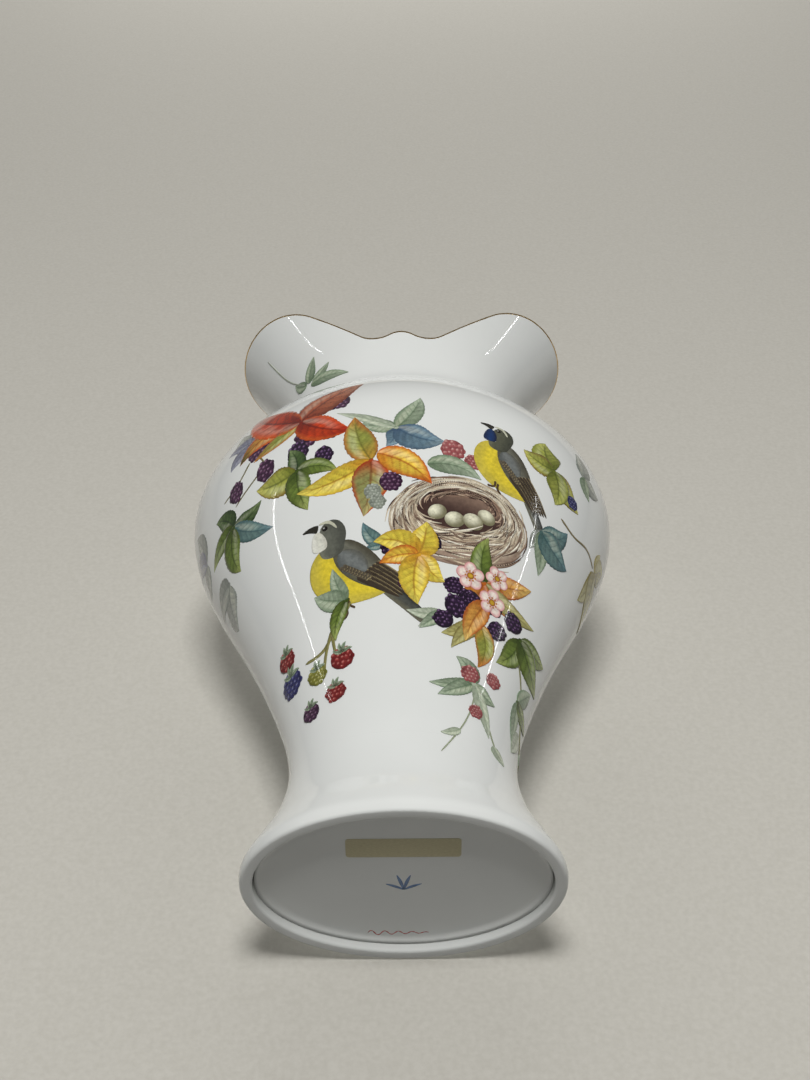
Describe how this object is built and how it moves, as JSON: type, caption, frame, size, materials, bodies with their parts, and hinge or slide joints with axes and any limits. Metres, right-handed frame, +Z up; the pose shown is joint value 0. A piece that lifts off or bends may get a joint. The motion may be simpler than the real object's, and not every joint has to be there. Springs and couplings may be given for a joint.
{
  "type": "oval baluster vase",
  "caption": "Flattened white porcelain baluster vase with a flared foot, short neck, two-eared wavy gilt lip and painted front.",
  "frame": {"origin": "centre of the foot's underside, on the level the foot ring stands on", "axes": "+Z up through the mouth, -Y is the painted front, +X is the right hand side seen from the front"},
  "size_m": [0.1734, 0.123, 0.3105],
  "materials": {
    "porcelain": "high gloss",
    "gold": "burnished gold line",
    "paper": "matte"
  },
  "bodies": {
    "root": {"foot_pedestal": "porcelain", "base_panel": "porcelain", "body_shell": "porcelain", "neck_collar": "porcelain", "rim_gilding": "gold", "paper_label": "paper"}
  },
  "joints": []
}
